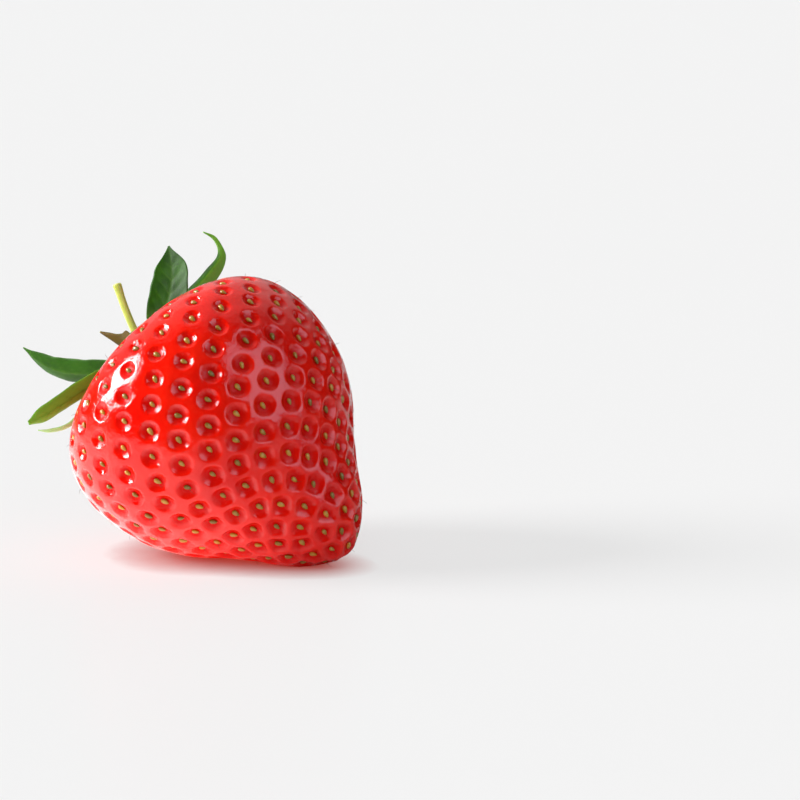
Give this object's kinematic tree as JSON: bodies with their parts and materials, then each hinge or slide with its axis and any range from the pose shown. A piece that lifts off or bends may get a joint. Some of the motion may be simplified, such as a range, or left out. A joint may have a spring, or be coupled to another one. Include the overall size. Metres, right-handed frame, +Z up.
{
  "type": "strawberry",
  "caption": "Ripe conical strawberry lying on its side, with seed pits over a glossy red skin, a leafy green calyx and a short cut stem.",
  "frame": {"origin": "on the table plane, in the wide part of the flat spot the berry rests on, below its centre of mass", "axes": "+Z up off the table, the tip points to +X and -Y and below level, the calyx to -X and +Y and up"},
  "size_m": [0.0524, 0.0443, 0.0461],
  "materials": {
    "strawberry_skin": "glossy, wet-looking ripe skin",
    "sepal_leaf": "dark green leaf, satin",
    "bractlet_leaf": "pale green leaf, satin",
    "dried_leaf": "dried brownish-green leaf, dull",
    "stem_green": "pale yellow-green stalk, satin"
  },
  "bodies": {
    "root": {"fruit": "strawberry_skin", "stem": "stem_green", "calyx_base": "sepal_leaf", "sepal_1": "sepal_leaf", "sepal_2": "sepal_leaf", "sepal_3": "sepal_leaf", "sepal_4": "sepal_leaf", "sepal_5": "sepal_leaf", "sepal_6": "sepal_leaf", "bractlet_1": "bractlet_leaf", "bractlet_2": "dried_leaf", "bractlet_3": "bractlet_leaf", "bractlet_4": "bractlet_leaf", "bractlet_5": "bractlet_leaf", "bractlet_6": "bractlet_leaf"}
  },
  "joints": []
}
